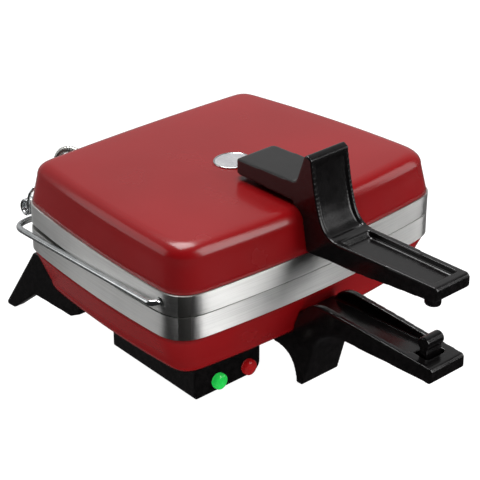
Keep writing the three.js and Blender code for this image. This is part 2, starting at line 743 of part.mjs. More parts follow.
// A coil above the rod, with a leg up against the lid's rear wall and a short leg down beside the rod.
function spring(side) {
  const [turns, pitch, perTurn] = [3, 2.8, 8];
  const [middle, y, z] = SPRING_CENTRE;
  const coil = Array.from({ length: turns * perTurn + 1 }, (_, i) => {
    const turn = Math.PI + (i / perTurn) * 2 * Math.PI;
    const along = pitch * (turns / 2 - i / perTurn);
    return [side * (middle + along), y + SPRING_RADIUS * Math.cos(turn), z + SPRING_RADIUS * Math.sin(turn)];
  });
  const upperLeg = [[3.5, 98.4, 26.6], [5.6, 101.2, 21.5], [5.5, 103.5, 15]];
  const legPoint = ([out, legY, legZ]) => [side * (middle + out), legY, legZ];
  return wire([...upperLeg.map(legPoint), ...coil, legPoint([-4.4, 104.1, 2])], SPRING_WIRE, 5, 44);
}

function lead() {
  const route = [
    LEAD_BASE, [-42, 104, -33.5], [-48, 121, -25], [-53, 130, -6], [-55.5, 132, 12], [-54.5, 131, 24],
    [-52.5, 128.5, 31], [-49.5, 124, 34.3], [-47, 117, 34.5], [-46, 109, 32], [LEAD_LID[0], 99, 29.6]];
  return wire(route, LEAD_RADIUS, 8, 34);
}

// ---- assembly --------------------------------------------------------------------------------------

const maker = new THREE.Group();

function tilted(solid) {
  const geometry = toGeometry(solid);
  geometry.translate(0, HALF_DEPTH, 0);
  geometry.rotateX(LID_TILT);
  geometry.translate(0, -HALF_DEPTH, 0);
  return toSolid(geometry);
}

function add(name, finish, solid) {
  const mesh = new THREE.Mesh(toGeometry(solid), new THREE.MeshStandardMaterial(FINISH[finish]));
  mesh.name = name;
  maker.add(mesh);
}

const tiltedEnvelope = tilted(lidEnvelope());

add('lid_shell', 'enamel', tilted(lidShell()));
add('upper_cast_plate', 'casting', cut(tilted(castPlate(1, PARTING_GAP, UPPER_BAND)), ...bailSockets()));
add('upper_heating_element', 'steel', tilted(element(1)));
add('upper_element_clamp', 'steel', tilted(elementClamp(1)));
add('upper_reflector', 'steel', tilted(reflector(1)));
add('upper_terminal_block', 'ceramic', tilted(terminalBlock(1)));
add('upper_handle', 'phenolic', tilted(upperHandle()));
UPPER_SCREWS.forEach(([x, y], i) => {
  const seat = LID_TOP + LID_CROWN * (1 - (y / HALF_DEPTH) ** 2) - SHEET - 1.6;
  add(`upper_handle_screw_${i + 1}`, 'steel', tilted(screw(x, y, seat, -1)));
});
add('lid_badge', 'badge', tilted(badge()));
add('hinge_bail', 'chrome', bail());

add('base_shell', 'enamel', baseShell());
add('lower_cast_plate', 'casting', castPlate(-1, 0, LOWER_BAND));
add('lower_heating_element', 'steel', element(-1));
add('lower_element_clamp', 'steel', elementClamp(-1));
add('lower_reflector', 'steel', reflector(-1));
add('lower_terminal_block', 'ceramic', terminalBlock(-1));
add('thermostat', 'steel', thermostat());
add('thermal_fuse', 'ceramic', thermalFuse());
add('lower_handle', 'phenolic', lowerHandle());
add('catch_lever', 'phenolic', catchLever());
add('catch_pin', 'steel', bar([-PIN_HALF, CATCH_Y, CATCH_Z], [PIN_HALF, CATCH_Y, CATCH_Z], PIN_RADIUS, 12));
add('control_box', 'phenolic', controlBox());
add('appliance_inlet', 'phenolic', applianceInlet());

function addSides(side, name) {
  const index = side < 0 ? 0 : 1;
  const seat = BASE_BOTTOM + SHEET + GAP;
  add(`lid_hinge_lug_${name}`, 'steel', lidLug(side, tiltedEnvelope));
  add(`hinge_spring_${name}`, 'chrome', spring(side));
  add(`base_hinge_bracket_${name}`, 'steel', hingeBracket(side));
  add(`rear_foot_${name}`, 'phenolic', rearFoot(side));
  add(`lower_handle_screw_${name}`, 'steel', screw(...HANDLE_SCREWS[index], seat, 1));
  add(`rear_foot_screw_${name}`, 'steel', screw(...FOOT_SCREWS[index], seat, 1));
}

addSides(-1, 'left');
addSides(1, 'right');
['front', 'rear'].forEach((name, i) => {
  add(`control_box_screw_${name}`, 'steel', screw(...BOX_SCREWS[i], BASE_BOTTOM + SHEET + GAP, 1));
});
[['green', GREEN_LAMP_X], ['red', RED_LAMP_X]].forEach(([colour, x]) => {
  add(`${colour}_lamp_lens`, colour, lampLens(x));
  add(`${colour}_lamp_holder`, 'ceramic', lampHolder(x));
});
add('sheathed_lead', 'sheath', lead());

const extent = new THREE.Box3().setFromObject(maker);
maker.position.set(0, -(extent.min.y + extent.max.y) / 2, -FLOOR);
maker.updateMatrixWorld(true);

export default maker;
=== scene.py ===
import json
import math

import bmesh
import bpy
import numpy as np
from mathutils import Matrix, Vector


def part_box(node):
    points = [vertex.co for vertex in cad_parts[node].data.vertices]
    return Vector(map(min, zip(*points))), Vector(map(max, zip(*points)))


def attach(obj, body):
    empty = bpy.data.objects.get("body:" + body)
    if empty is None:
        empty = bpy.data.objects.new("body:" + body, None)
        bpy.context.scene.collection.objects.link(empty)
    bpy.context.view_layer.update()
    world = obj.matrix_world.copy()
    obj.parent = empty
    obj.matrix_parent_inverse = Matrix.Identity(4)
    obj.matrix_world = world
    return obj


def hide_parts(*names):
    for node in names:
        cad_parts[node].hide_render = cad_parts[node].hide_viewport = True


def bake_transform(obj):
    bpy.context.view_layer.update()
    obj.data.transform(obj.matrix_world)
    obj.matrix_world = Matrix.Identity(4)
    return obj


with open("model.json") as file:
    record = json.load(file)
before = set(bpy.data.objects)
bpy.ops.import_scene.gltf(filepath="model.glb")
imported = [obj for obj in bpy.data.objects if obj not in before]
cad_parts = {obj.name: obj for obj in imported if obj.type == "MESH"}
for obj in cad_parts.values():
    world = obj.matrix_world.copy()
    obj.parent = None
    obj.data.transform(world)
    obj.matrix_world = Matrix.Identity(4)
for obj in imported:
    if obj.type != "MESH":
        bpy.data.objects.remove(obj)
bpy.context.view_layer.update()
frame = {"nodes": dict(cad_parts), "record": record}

# A ring-cake maker with two hinged, heated halves. Shapes are laid out in millimetres about the parting
# plane of the two halves and the middle of the body plan, then placed in the frame in metres.
MM = 0.001
MIDDLE_LOW, MIDDLE_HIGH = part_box("thermostat")
DATUM = Vector((0, (MIDDLE_LOW.y + MIDDLE_HIGH.y) / 2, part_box("lower_cast_plate")[1].z))

# Body plan.
HALF_WIDTH = 125
HALF_DEPTH = 101.5
SIDE_BOW = 3.5
FRONT_BOW = 5.8
REAR_BOW = 2.5
FRONT_RADIUS = 23
REAR_RADIUS = 11
PLAN_TAPER = 0.095
PLAN_POINTS = 288
PLAN_BLEND = 9

# Heights.
FLOOR = -90
PARTING_GAP = 0.3
UPPER_BAND = 16.1
LOWER_BAND = -17.5
LID_TOP = 48.4
LID_CROWN = 0.8
BASE_BOTTOM = -54
LID_TILT = 0.018

# Sections.
GAP = 0.3
SHEET = 1.2
SHELL_INSET = 0.9
LID_WALL_INSET = 5.1
LID_EDGE = 10.9
BASE_WALL_INSET = 11.5
BASE_EDGE = 10
RIM = 6
WEB = 6

# Ring moulds.
RING_PITCH = (74, 84)
RING_RADIUS = 22
MOULD_RADIUS = 10.5
MOULD_LIP = 1.2
MOULD_WALL = 3

# Hinge, bail and lead.
ROD_RADIUS = 2.25
ROD_Y = 108
ROD_Z = -3
BAIL_END_X = 125.5
BAIL_FRONT = (-74, 9.6)
BAIL_OUTER_X = 136.6
BAIL_REAR_X = 114.5
SPRING_CENTRE = (97, 111, 6.4)
SPRING_RADIUS = 5.2
SPRING_WIRE = 1.2
KNUCKLE_RADIUS = 4.4
KNUCKLE_BEAD = 0.5
LUG_X = (70, 78)
BRACKET_X = (54, 66)
LEAD_RADIUS = 2.6
LEAD_WINDING = 2.2
LEAD_GROOVE = 0.25

# Handles and catch.
GRIP_HALF = 18.5
GRIP_NARROWING = 0.09
GRIP_ROOT_Y = -122
GRIP_TIP_Y = -217
CHANNEL_DEPTH = 4.5
CHANNEL_WALL = 5
ARM_REAR_Y = -27
ARM_UNDERSIDE = 53.4
BOSS_Y = -200.5
STAND_OFF_Y = (-44, -74)
DISH_WALL = 3.2
CATCH_Y = -201
CATCH_Z = -34.3
CATCH_REACH = 15.5
CATCH_HALF = 8
BARREL_RADIUS = 4.8
PIN_RADIUS = 1.3

# Badge.
BADGE_CENTRE = (0, -6.5)
BADGE_HALF = (14.8, 13.2)
BADGE_SIDES = 96

# Rear feet.
FOOT_X = (87, 97)
FOOT_FLANGE_X = (70, 92)
FOOT_SCREW = (80, 70)

# Control box and lamps.
BOX_LEFT = -94
BOX_RIGHT = -35.5
BOX_FRONT = -76
BOX_REAR = 23.5
BOX_BOTTOM = -79
BOX_WALL = 2
LAMP_Z = -71
LAMP_RADIUS = 6
LAMP_OUT = 5.5
LAMP_DOME = 2.6
LAMP_X = {"green": -79.5, "red": -50.8}
INLET_X = -64

# Meshing.
CURVE_STEPS = 10
CORNER_STEPS = 6
SHARP_EDGE = math.radians(32)

# Studio, in degrees and metres.
CAMERA_AZIMUTH = -43.60
CAMERA_ELEVATION = 26.13
CAMERA_DISTANCE = 1.2952
CAMERA_AIM = (0.0034, 0.0234, 0.0776)
CAMERA_LENS = 131.14
LIGHT_AIM = (0, 0, 0.09)
FLOOR_HALF = 12


# ---- mesh helpers ------------------------------------------------------------------------------------

def to_frame(point):
    return DATUM + Vector(point) * MM


def mesh_object(name, points, faces):
    mesh = bpy.data.meshes.new(name)
    mesh.from_pydata([to_frame(p) for p in points], [], faces)
    work = bmesh.new()
    work.from_mesh(mesh)
    bmesh.ops.remove_doubles(work, verts=work.verts, dist=1e-6)
    bmesh.ops.recalc_face_normals(work, faces=work.faces)
    work.to_mesh(mesh)
    work.free()
    piece = bpy.data.objects.new(name, mesh)
    bpy.context.scene.collection.objects.link(piece)
    return piece


def shade(piece):
    piece.data.polygons.foreach_set("use_smooth", [True] * len(piece.data.polygons))
    return piece


def applied(piece):
    """The piece with its modifiers made part of its mesh."""
    bpy.context.view_layer.update()
    graph = bpy.context.evaluated_depsgraph_get()
    mesh = bpy.data.meshes.new_from_object(piece.evaluated_get(graph))
    piece.modifiers.clear()
    old = piece.data
    piece.data = mesh
    bpy.data.meshes.remove(old)
    return piece


def combined(piece, tools, operation):
    for tool in tools:
        cutter = piece.modifiers.new(operation, "BOOLEAN")
        cutter.operation = operation
        cutter.solver = "MANIFOLD"
        cutter.object = tool
    applied(piece)
    for tool in tools:
        bpy.data.objects.remove(tool)
    return piece


def joined(piece, *tools):
    return combined(piece, tools, "UNION")


def cut(piece, *tools):
    return combined(piece, tools, "DIFFERENCE")


def moulded(piece, voxel=0.8, rounds=5):
    """Rounds every edge and inner corner a little, as a moulding has them."""
    remesh = piece.modifiers.new("skin", "REMESH")
    remesh.mode = "VOXEL"
    remesh.voxel_size = voxel * MM
    remesh.use_smooth_shade = True
    relax = piece.modifiers.new("relax", "SMOOTH")
    relax.factor = 0.5
    relax.iterations = rounds
    return shade(applied(piece))


def reshape(piece, rule):
    """Moves every vertex by a rule that works in the layout's millimetres."""
    for vertex in piece.data.vertices:
        vertex.co = to_frame(rule((vertex.co - DATUM) / MM))
    return piece


def tilted(piece):
    """Lid pieces rest a little open at the rear, turned about the front edge of the parting plane."""
    pivot = Vector((0, -HALF_DEPTH, 0))
    turn = Matrix.Rotation(LID_TILT, 3, "X")
    return reshape(piece, lambda p: turn @ (p - pivot) + pivot)


# ---- shape helpers -----------------------------------------------------------------------------------

def outline(start, *moves):
    """A closed outline. Each move is a point, or a (control point, end point) pair for a curve."""
    points = [Vector(start)]
    for move in moves:
        if not isinstance(move[0], tuple):
            points.append(Vector(move))
            continue
        begin, control, end = points[-1].copy(), Vector(move[0]), Vector(move[1])
        for i in range(1, CURVE_STEPS + 1):
            t = i / CURVE_STEPS
            points.append(begin.lerp(control, t).lerp(control.lerp(end, t), t))
    return points


def prism(name, near, far):
    """A closed solid between two matching outlines."""
    count = len(near)
    faces = [list(range(count))[::-1], list(range(count, 2 * count))]
    for i in range(count):
        j = (i + 1) % count
        faces.append([i, j, count + j, count + i])
    return mesh_object(name, [*near, *far], faces)


def side_prism(name, shape, x0, x1):
    return prism(name, [(x0, p[0], p[1]) for p in shape], [(x1, p[0], p[1]) for p in shape])


def plan_prism(name, shape, z0, z1):
    return prism(name, [(p[0], p[1], z0) for p in shape], [(p[0], p[1], z1) for p in shape])


def block(name, xs, ys, zs):
    corners = [(xs[0], ys[0]), (xs[1], ys[0]), (xs[1], ys[1]), (xs[0], ys[1])]
    return plan_prism(name, corners, *zs)


def rounded_rectangle(x0, x1, y0, y1, radius):
    corners = [(x1 - radius, y0 + radius), (x1 - radius, y1 - radius),
               (x0 + radius, y1 - radius), (x0 + radius, y0 + radius)]
    points = []
    for quarter, (cx, cy) in enumerate(corners):
        for i in range(CORNER_STEPS + 1):
            turn = (quarter - 1 + i / CORNER_STEPS) * math.pi / 2
            points.append((cx + radius * math.cos(turn), cy + radius * math.sin(turn)))
    return points


def across(direction):
    """Two unit directions square to this one."""
    along = Vector(direction).normalized()
    guide = Vector((0, 0, 1)) if abs(along.z) < 0.9 else Vector((1, 0, 0))
    first = guide.cross(along).normalized()
    return first, along.cross(first), along


def turned(name, profile, at, direction, sides=40):
    """A turned solid. The profile's [radius, height] pairs start and end on its own axis."""
    first, second, along = across(direction)
    points, faces, rings = [], [], []
    for radius, height in profile:
        centre = Vector(at) + along * height
        count = sides if radius > 0 else 1
        rings.append(range(len(points), len(points) + count))
        for i in range(count):
            turn = 2 * math.pi * i / sides
            points.append(centre + radius * (math.cos(turn) * first + math.sin(turn) * second))
    for low, high in zip(rings, rings[1:]):
        for i in range(sides):
            j = (i + 1) % sides
            corners = [low[i % len(low)], low[j % len(low)], high[j % len(high)], high[i % len(high)]]
            faces.append(list(dict.fromkeys(corners)))
    return mesh_object(name, points, [face for face in faces if len(face) > 2])


def bar(name, start, end, radius, sides=32):
    length = (Vector(end) - Vector(start)).length
    return turned(name, [(0, 0), (radius, 0), (radius, length), (0, length)], start,
                  Vector(end) - Vector(start), sides)


def smooth_route(points, spacing):
    """Evenly spaced points on the smooth curve through the given ones."""
    ends = [2 * Vector(points[0]) - Vector(points[1]), 2 * Vector(points[-1]) - Vector(points[-2])]
    knots = [ends[0], *map(Vector, points), ends[1]]
    dense = []
    for a, b, c, d in zip(knots, knots[1:], knots[2:], knots[3:]):
        for i in range(16):
            t = i / 16
            dense.append(0.5 * (2 * b + (c - a) * t + (2 * a - 5 * b + 4 * c - d) * t * t
                                + (3 * b - a - 3 * c + d) * t * t * t))
    dense.append(knots[-2])
    lengths = np.cumsum([0] + [(b - a).length for a, b in zip(dense, dense[1:])])
    count = max(2, round(lengths[-1] / spacing))
    stations = np.linspace(0, lengths[-1], count + 1)
    table = np.array(dense)
    return [Vector([np.interp(s, lengths, table[:, k]) for k in range(3)]) for s in stations]


def tube(name, route, radius, sides):
    """A round wire along a route, with flat ends. The radius is a number or a rule of the distance."""
    size = radius if callable(radius) else (lambda distance: radius)
    points, faces, distance = [], [], 0
    first = across(route[1] - route[0])[0]
    for i, centre in enumerate(route):
        ahead = (route[min(i + 1, len(route) - 1)] - route[max(i - 1, 0)]).normalized()
        first = (first - ahead * first.dot(ahead)).normalized()
        second = ahead.cross(first)
        if i:
            distance += (centre - route[i - 1]).length
        for k in range(sides):
            turn = 2 * math.pi * k / sides
            points.append(centre + size(distance) * (math.cos(turn) * first + math.sin(turn) * second))
    for i in range(len(route) - 1):
        for k in range(sides):
            j = (k + 1) % sides
            faces.append([i * sides + k, i * sides + j, (i + 1) * sides + j, (i + 1) * sides + k])
    faces.append(list(range(sides))[::-1])
    faces.append(list(range((len(route) - 1) * sides, len(route) * sides)))
    return shade(mesh_object(name, points, faces))


# ---- body plan ---------------------------------------------------------------------------------------

def width_factor(y):
    return 1 - PLAN_TAPER * y / HALF_DEPTH


def plan_corners(inset):
    """The straight-sided plan's corners: centre of each round and its radius, anticlockwise from the rear."""
    half_width = HALF_WIDTH - SIDE_BOW - inset
    front, rear = -(HALF_DEPTH - FRONT_BOW - inset), HALF_DEPTH - REAR_BOW - inset
    corners = []
    for side, end, full in ((1, rear, REAR_RADIUS), (-1, rear, REAR_RADIUS),
                            (-1, front, FRONT_RADIUS), (1, front, FRONT_RADIUS)):
        radius = max(full - 0.7 * inset, 3)
        corners.append((np.array([side * (half_width - radius), end - math.copysign(radius, end)]), radius))
    return corners


def plan_outline(inset):
    """The plan outline, set in by a distance: bowed sides blended into round corners."""
    corners = plan_corners(inset)
    rough = []
    for quarter, (centre, radius) in enumerate(corners):
        for turn in np.linspace(quarter, quarter + 1, 25) * math.pi / 2:
            rough.append(centre + radius * np.array([math.cos(turn), math.sin(turn)]))
        outward = np.array([math.cos((quarter + 1) * math.pi / 2), math.sin((quarter + 1) * math.pi / 2)])
        next_centre, next_radius = corners[(quarter + 1) % 4]
        start, end = rough[-1], next_centre + next_radius * outward
        bow = (REAR_BOW, SIDE_BOW, FRONT_BOW, SIDE_BOW)[quarter]
        for t in np.linspace(0, 1, 60)[1:-1]:
            rough.append(start + t * (end - start) + 4 * bow * t * (1 - t) * outward)
    even = evenly_spaced(np.array(rough), PLAN_POINTS)
    window = np.hanning(PLAN_BLEND + 2)[1:-1]
    window /= window.sum()
    wrapped = np.vstack([even[-PLAN_BLEND:], even, even[:PLAN_BLEND]])
    blended = np.stack([np.convolve(wrapped[:, k], window, "same") for k in range(2)], 1)
    blended = blended[PLAN_BLEND:-PLAN_BLEND]
    blended[:, 0] *= width_factor(blended[:, 1])
    return blended


def evenly_spaced(points, count):
    closed = np.vstack([points, points[:1]])
    lengths = np.concatenate([[0], np.cumsum(np.linalg.norm(np.diff(closed, axis=0), axis=1))])
    stations = np.linspace(0, lengths[-1], count, endpoint=False)
    return np.stack([np.interp(stations, lengths, closed[:, k]) for k in range(2)], 1)


def plan_loft(name, profile):
    """A solid of level sections on the body plan. A profile row is (inset, height, share of the size)."""
    points, faces, rings = [], [], []
    for inset, height, share in profile:
        count = PLAN_POINTS if share > 0 else 1
        rings.append(range(len(points), len(points) + count))
        if share > 0:
            points.extend((share * x, share * y, height) for x, y in plan_outline(inset))
        else:
            points.append((0, 0, height))
    for low, high in zip(rings, rings[1:]):
        for i in range(PLAN_POINTS):
            j = (i + 1) % PLAN_POINTS
            corners = [low[i % len(low)], low[j % len(low)], high[j % len(high)], high[i % len(high)]]
            faces.append(list(dict.fromkeys(corners)))
    return shade(mesh_object(name, points, [face for face in faces if len(face) > 2]))


def round_edge(inset, height, radius, rise):
    """A quarter round from an upright wall to a level face, rising (1) or falling (-1)."""
    rows = []
    for i in range(CURVE_STEPS + 1):
        turn = i / CURVE_STEPS * math.pi / 2
        rows.append((inset + radius - radius * math.cos(turn), height + rise * radius * math.sin(turn), 1))
    return rows


def to_centre(inset, height, crown, shares=(0.86, 0.7, 0.5, 0.3, 0.14, 0)):
    return [(inset, height + crown * (1 - share ** 2), share) for share in shares]


def lid_profile(offset):
    wall = []
    for i in range(6):
        t = i / 5
        inset = SHELL_INSET + (LID_WALL_INSET - SHELL_INSET) * t - offset
        height = UPPER_BAND + GAP + (LID_TOP - LID_EDGE - UPPER_BAND - GAP) * t
        wall.append((inset, height, 1))
    edge = round_edge(LID_WALL_INSET - offset, LID_TOP - LID_EDGE, LID_EDGE + offset, 1)
    return wall[:-1] + edge + to_centre(LID_WALL_INSET + LID_EDGE, LID_TOP + offset, LID_CROWN)


def base_profile(offset):
    wall = []
    for i in range(6):
        t = i / 5
        inset = SHELL_INSET + (BASE_WALL_INSET - SHELL_INSET) * t - offset
        height = LOWER_BAND - GAP + (BASE_BOTTOM + BASE_EDGE - LOWER_BAND + GAP) * t
        wall.append((inset, height, 1))
    edge = round_edge(BASE_WALL_INSET - offset, BASE_BOTTOM + BASE_EDGE, BASE_EDGE + offset, -1)
    return wall[:-1] + edge + to_centre(BASE_WALL_INSET + BASE_EDGE, BASE_BOTTOM - offset, 0)


def pan_profile(outer, inner):
    """Outer face up to the middle, then the inner face back out to the rolled lip."""
    lip_inset = (outer[0][0] + inner[0][0]) / 2
    lip_height = outer[0][1] - 0.25 * (1 if outer[-1][1] > outer[0][1] else -1)
    return [(lip_inset, lip_height, 1), *outer, *inner[::-1], (lip_inset, lip_height, 1)]


def envelope(upper):
    """The room that a shell and its band take, a little enlarged, for cutting pieces that lie against it."""
    profile = (lid_profile if upper else base_profile)(GAP)
    band = UPPER_BAND if upper else LOWER_BAND
    start = [(0, 0, 0), (-GAP, 0, 1), (-GAP, band, 1)]
    return plan_loft("envelope", start + profile)


def lid_shell():
    piece = plan_loft("lid_shell_enamelled", pan_profile(lid_profile(0), lid_profile(-SHEET)))
    return tilted(piece)


def base_shell():
    return plan_loft("base_shell_enamelled", pan_profile(base_profile(0), base_profile(-SHEET)))


# ---- castings ----------------------------------------------------------------------------------------

def ring_centres():
    return [(column * RING_PITCH[0], row * RING_PITCH[1]) for column in (-1, 0, 1) for row in (-0.5, 0.5)]


def torus(name, section, at):
    """A ring turned about an upright axis from a closed section of (distance from the axis, height)."""
    sides = 64
    points, faces, count = [], [], len(section)
    for i in range(sides):
        turn = 2 * math.pi * i / sides
        points.extend((at[0] + r * math.cos(turn), at[1] + r * math.sin(turn), z) for r, z in section)
    for i in range(sides):
        for k in range(count):
            j, m = (i + 1) % sides, (k + 1) % count
            faces.append([i * count + k, j * count + k, j * count + m, i * count + m])
    return mesh_object(name, points, faces)


def mould_section(face, side):
    """The hollow's section: half round, with a lip rounded over to the face."""
    section = []
    for sign in (-1, 1):
        arc = []
        for i in range(5):
            turn = i / 4 * math.pi / 2
            reach = MOULD_RADIUS + MOULD_LIP - MOULD_LIP * math.sin(turn)
            arc.append((RING_RADIUS + sign * reach, face + side * MOULD_LIP * (1 - math.cos(turn))))
        section.extend(arc if sign < 0 else arc[::-1])
        if sign < 0:
            for i in range(1, 16):
                turn = math.pi * i / 16
                section.append((RING_RADIUS - MOULD_RADIUS * math.cos(turn),
                                face + side * (MOULD_LIP + (MOULD_RADIUS - MOULD_LIP) * math.sin(turn))))
    above = face - side * 3
    reach = MOULD_RADIUS + MOULD_LIP
    return [*section, (RING_RADIUS + reach, above), (RING_RADIUS - reach, above)]


def bulge_section(face, side):
    radius = MOULD_RADIUS + MOULD_WALL
    turns = [math.pi * i / 16 for i in range(17)]
    return [(RING_RADIUS - radius * math.cos(turn), face + side * (0.5 + (radius - 0.5) * math.sin(turn)))
            for turn in turns]


def cast_plate(name, side, face, band):
    back = face + side * WEB
    lip = 0.3
    profile = [(20, face, 0), (20, face, 0.5), (20, face, 1), (lip, face, 1)]
    profile += [(lip * (1 - math.sin(t)), face + side * lip * (1 - math.cos(t)), 1)
                for t in np.linspace(0, math.pi / 2, 5)[1:]]
    profile += [(0, band - side * lip, 1), (lip, band, 1), (RIM, band, 1), (RIM + 1, back, 1),
                (20, back, 1), (20, back, 0.5), (20, back, 0)]
    plate = plan_loft(name, profile)
    bulges = [torus("bulge", bulge_section(face, side), at) for at in ring_centres()]
    hollows = [torus("hollow", mould_section(face, side), at) for at in ring_centres()]
    return shade(cut(joined(plate, *bulges), *hollows))


def bail_sockets():
    y, z = BAIL_FRONT
    inner, outer = BAIL_END_X - 1, BAIL_OUTER_X + 8
    return [bar("socket", (side * inner, y, z), (side * outer, y, z), ROD_RADIUS + 0.5) for side in (-1, 1)]


def upper_cast_plate():
    plate = tilted(cast_plate("upper_casting", 1, PARTING_GAP, UPPER_BAND))
    return smooth_by_angle(cut(plate, *bail_sockets()))


def lower_cast_plate():
    return smooth_by_angle(cast_plate("lower_casting", -1, 0, LOWER_BAND))


def smooth_by_angle(piece):
    """Smooth shading that breaks at sharp edges."""
    work = bmesh.new()
    work.from_mesh(piece.data)
    for edge in work.edges:
        edge.smooth = len(edge.link_faces) == 2 and edge.calc_face_angle(0) < SHARP_EDGE
    work.to_mesh(piece.data)
    work.free()
    return shade(piece)


# ---- handles -----------------------------------------------------------------------------------------

def narrowed(piece):
    def rule(p):
        along = min(max((GRIP_ROOT_Y - p.y) / (GRIP_ROOT_Y - GRIP_TIP_Y), 0), 1)
        return Vector((p.x * (1 - GRIP_NARROWING * along), p.y, p.z))
    return reshape(piece, rule)


def grip_channel(start, start_top, end, end_top):
    """The recess along the top of a grip, between points on its rim, with ends that slope."""
    half = GRIP_HALF - CHANNEL_WALL
    shape = outline((start + 4.5, start_top + 12), (start - 8, start_top - CHANNEL_DEPTH),
                    (end + 1, end_top - CHANNEL_DEPTH), (end - 0.5, end_top + 12))
    return side_prism("channel", shape, -half, half)


def upper_handle_outline():
    return outline(
        (ARM_REAR_Y - 0.5, 40), (ARM_REAR_Y, 60), ((ARM_REAR_Y, 64.4), (-32, 64.6)), (-84.5, 66.2),
        ((-88.5, 66.6), (-90, 70.5)), (-95.4, 87), ((-96.4, 89.6), (-98.8, 89.2)), (-102.2, 87.2),
        ((-106.5, 62), (-111.5, 48)), ((-115.5, 35.5), (-127, 34)), (GRIP_TIP_Y + 2, 34), (GRIP_TIP_Y, 32),
        (GRIP_TIP_Y, 25), (GRIP_TIP_Y + 2, 23), (-146, 18.6), (-112, 18), (-85, 17.4))


def upper_handle():
    body = side_prism("upper_handle_moulding", upper_handle_outline(), -GRIP_HALF, GRIP_HALF)
    dish = outline((-101.6, 84.5), ((-104.5, 62), (-109.5, 48.5)), ((-113, 37.5), (-121, 34)), (-140, 60))
    air_gap = outline((ARM_REAR_Y + 5, 40), (ARM_REAR_Y + 5, ARM_UNDERSIDE),
                      (-86, ARM_UNDERSIDE - 1.8), (-90, 40))
    boss = turned("boss", [(0, 0), (5, 0), (6, 1), (6, 15), (0, 15)], (0, BOSS_Y, 10.2), (0, 0, 1))
    stand_offs = [bar("stand_off", (0, y, 40), (0, y, 55), 6) for y in STAND_OFF_Y]
    ends = rounded_rectangle(-GRIP_HALF, GRIP_HALF, GRIP_TIP_Y - 20, ARM_REAR_Y, 6)
    cut(body, side_prism("air_gap", air_gap, -GRIP_HALF - 1, GRIP_HALF + 1))
    combined(body, [plan_prism("ends", ends, 0, 100)], "INTERSECT")
    joined(body, boss, *stand_offs)
    cut(body, envelope(True), side_prism("dish", dish, -GRIP_HALF + DISH_WALL, GRIP_HALF - DISH_WALL),
        grip_channel(-124, 34, GRIP_TIP_Y + 7, 34))
    return tilted(moulded(narrowed(body)))


def lower_handle_outline():
    return outline(
        (-78, -31), (-99, -31), ((-103, -21), (-117, -20.4)), (GRIP_TIP_Y + 2, -29), (GRIP_TIP_Y, -31),
        (GRIP_TIP_Y, -38.5), (GRIP_TIP_Y + 2, -40.5), (-138, -38.5), ((-114, -39), (-108.5, -58)),
        (-99.5, FLOOR), (-93.5, FLOOR), ((-91.5, -69), (-76, -66)), ((-62, -64), (-46, -61)), (-46, -45))


def lower_handle():
    body = side_prism("lower_handle_moulding", lower_handle_outline(), -GRIP_HALF, GRIP_HALF)
    half = CATCH_HALF + 2
    pocket = block("pocket", (-half, half), (CATCH_Y - 5.5, CATCH_Y + 11), (CATCH_Z - 4.4, -20))
    cut(body, envelope(False), grip_channel(-66, -26.5, CATCH_Y + 9, -27), pocket)
    return moulded(narrowed(body))


def catch_lever():
    top = CATCH_Z + CATCH_REACH
    slab = block("catch_lever_moulding", (-CATCH_HALF, CATCH_HALF),
                 (CATCH_Y - 3, CATCH_Y + 3), (CATCH_Z, top))
    length = 2 * CATCH_HALF + 1.4
    ends = [(0, 0), (BARREL_RADIUS - 0.8, 0), (BARREL_RADIUS, 0.8), (BARREL_RADIUS, length - 0.8),
            (BARREL_RADIUS - 0.8, length), (0, length)]
    barrel = turned("barrel", ends, (-length / 2, CATCH_Y, top), (1, 0, 0))
    knuckle_bar = bar("knuckle", (-CATCH_HALF, CATCH_Y, CATCH_Z), (CATCH_HALF, CATCH_Y, CATCH_Z), 3.6)
    joined(slab, barrel, knuckle_bar)
    bore = bar("bore", (-12, CATCH_Y, CATCH_Z), (12, CATCH_Y, CATCH_Z), PIN_RADIUS + GAP)
    return moulded(cut(slab, bore), voxel=0.45, rounds=4)


def rear_foot(side):
    shape = outline(
        (80, -34), (106, -31.5), ((110, -31.5), (111.5, -35)), (147.5, FLOOR + 2), (146.5, FLOOR),
        (138, FLOOR), (113, -70), ((110.5, -68), (107, -68.5)), (67, -70), (56, -64.5), (54, -50))
    foot = side_prism(f"rear_foot_{side_name(side)}_moulding", shape, side * FOOT_X[0], side * FOOT_X[1])
    flange_plan = rounded_rectangle(*sorted(side * x for x in FOOT_FLANGE_X), 56, 84, 5)
    flange = plan_prism("flange", flange_plan, -61, -50)
    x, y = side * FOOT_SCREW[0], FOOT_SCREW[1]
    hole = bar("hole", (x, y, -50), (x, y, -62), 2.3)
    return moulded(cut(joined(foot, flange), envelope(False), hole), voxel=0.7)


def side_name(side):
    return "left" if side < 0 else "right"


# ---- control box -------------------------------------------------------------------------------------

def box_section(inset, top):
    left, right, bottom = BOX_LEFT + inset, BOX_RIGHT - inset, BOX_BOTTOM + inset
    corner = [(left, top), (left, bottom + 1.5)]
    for cx, cz, radius, quarter in ((left + 1.5, bottom + 1.5, 1.5, 2), (right - 8, bottom + 8, 8, 3)):
        for i in range(9):
            turn = (quarter + i / 8) * math.pi / 2
            corner.append((cx + radius * math.cos(turn), cz + radius * math.sin(turn)))
    return corner + [(right, top)]


def box_solid(name, inset, top):
    section = box_section(inset, top)
    rings = [BOX_FRONT + inset, BOX_REAR - inset]
    near, far = [[(x * width_factor(y), y, z) for x, z in section] for y in rings]
    return prism(name, near, far)


